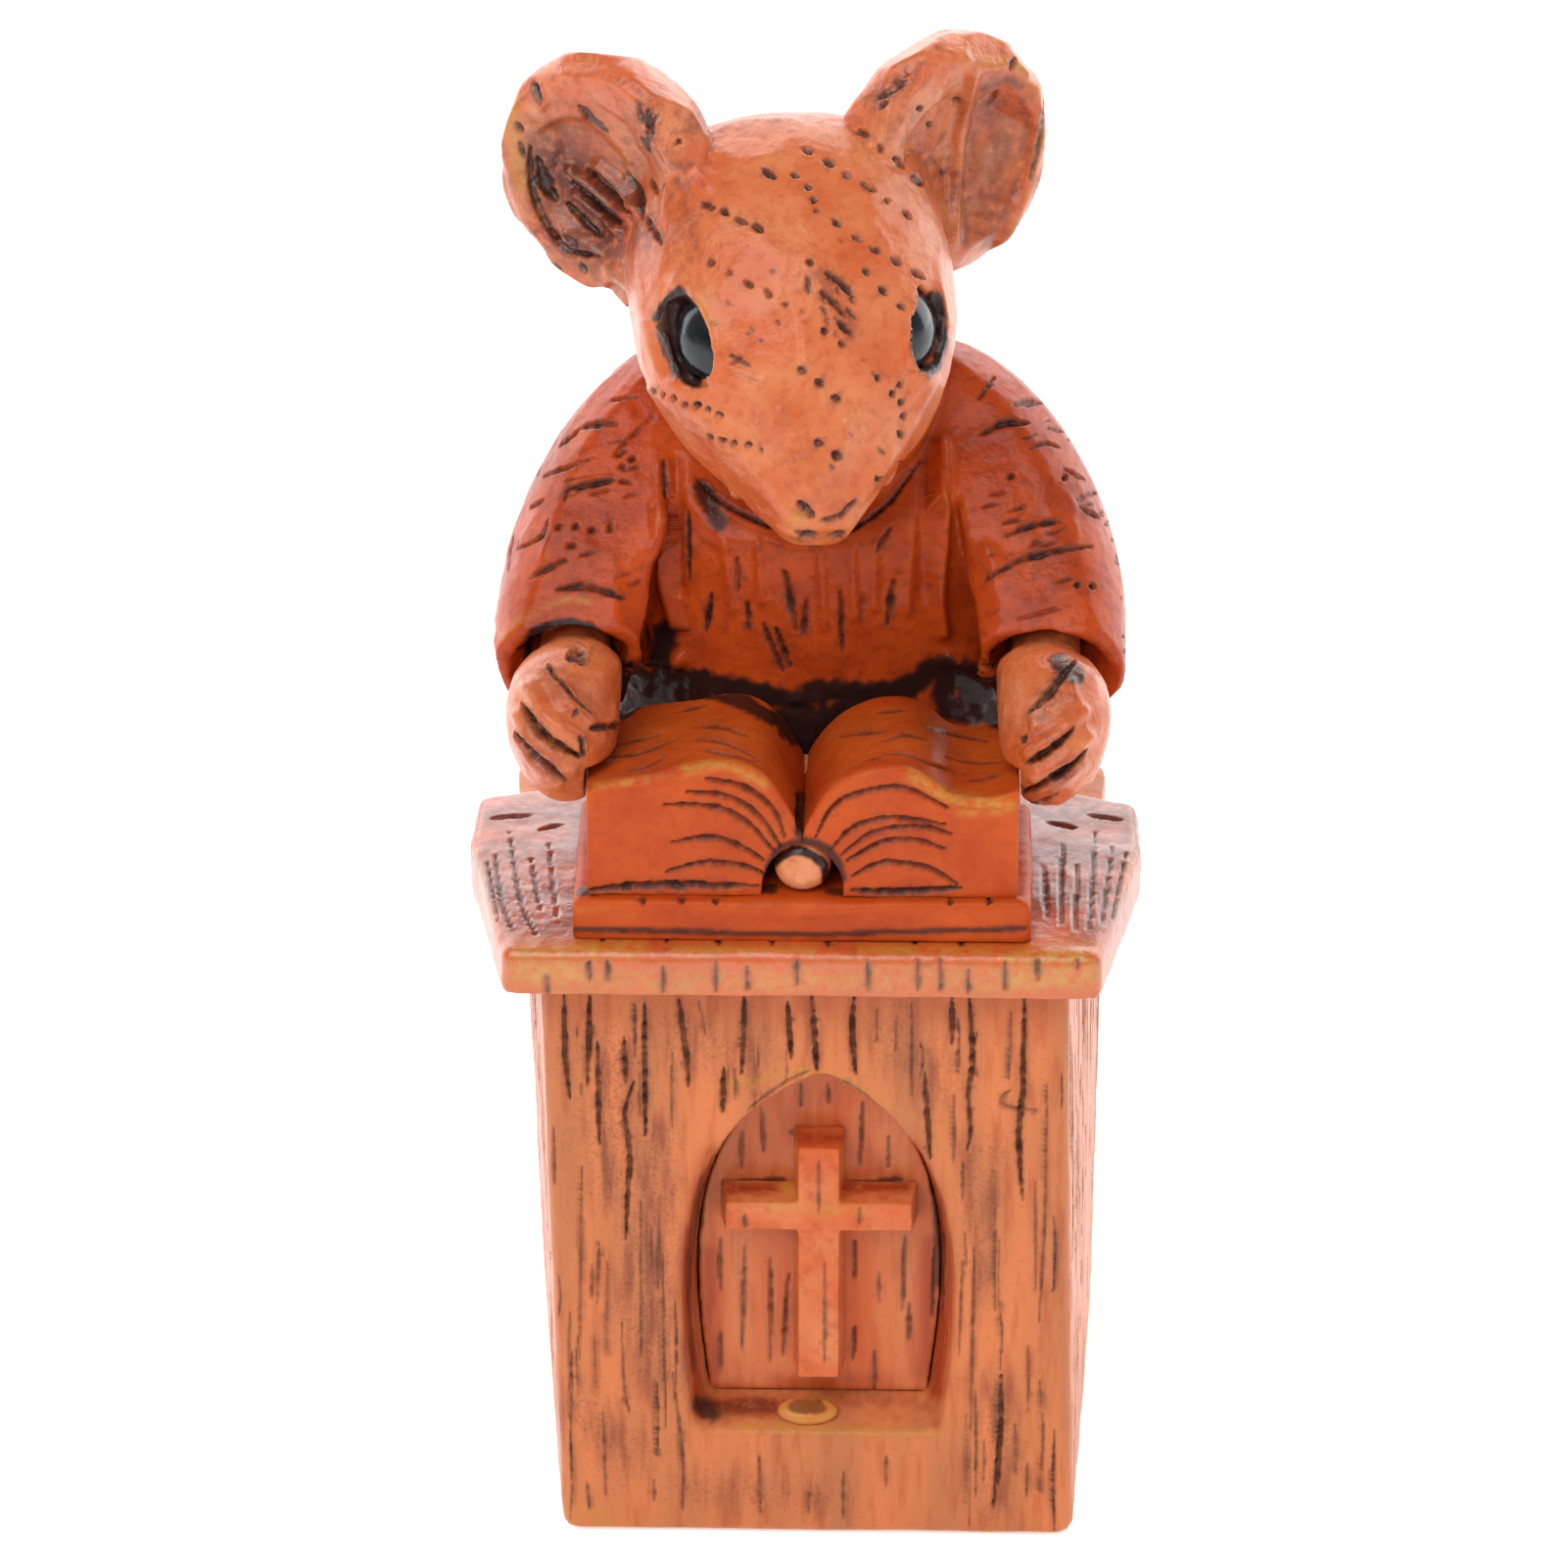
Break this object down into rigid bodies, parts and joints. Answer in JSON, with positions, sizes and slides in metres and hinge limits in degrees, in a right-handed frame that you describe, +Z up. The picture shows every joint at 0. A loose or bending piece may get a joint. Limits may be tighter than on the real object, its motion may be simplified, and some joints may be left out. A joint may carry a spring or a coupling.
{
  "type": "mouse figurine",
  "caption": "Glossy carved-look resin ornament of a mouse in a wide-sleeved gown holding an open book on a small pulpit whose arched niche bears a Latin cross.",
  "frame": {"origin": "middle of the flat underside of the pulpit", "axes": "+Z up, +X to the viewer's right, +Y away from the viewer; the mouse looks along -Y"},
  "size_m": [0.049, 0.0385, 0.1089],
  "materials": {
    "pulpit_glaze": "glossy varnish over orange-brown paint with dark wash in the grooves",
    "niche_glaze": "glossy varnish over orange-brown paint with vertical dark grooves",
    "cross_glaze": "glossy varnish over red-brown paint with ochre worn edges",
    "board_glaze": "glossy varnish over brown paint with ochre worn edges",
    "book_glaze": "glossy varnish over red-brown paint with ochre worn page edges",
    "robe_glaze": "glossy varnish over red-brown paint with dark wash in the gouges",
    "fur_glaze": "glossy varnish over orange-brown paint with punched dark dashes",
    "ear_glaze": "glossy varnish over brown paint, dark in the bowls, ochre on the rims",
    "eye_gloss": "high gloss black",
    "pin_wood": "plain"
  },
  "bodies": {
    "root": {"pulpit_body": "pulpit_glaze", "niche_panel": "niche_glaze", "niche_cross": "cross_glaze", "cross_mound": "cross_glaze", "desk_board": "board_glaze", "book_cover": "book_glaze", "left_pages": "book_glaze", "right_pages": "book_glaze", "book_spine": "book_glaze", "robe": "robe_glaze", "robe_front": "robe_glaze", "collar": "robe_glaze", "left_sleeve": "robe_glaze", "right_sleeve": "robe_glaze", "left_paw": "fur_glaze", "right_paw": "fur_glaze", "head": "fur_glaze", "left_ear": "ear_glaze", "right_ear": "ear_glaze", "left_eye": "eye_gloss", "right_eye": "eye_gloss", "neck_dowel": "pin_wood"}
  },
  "joints": []
}
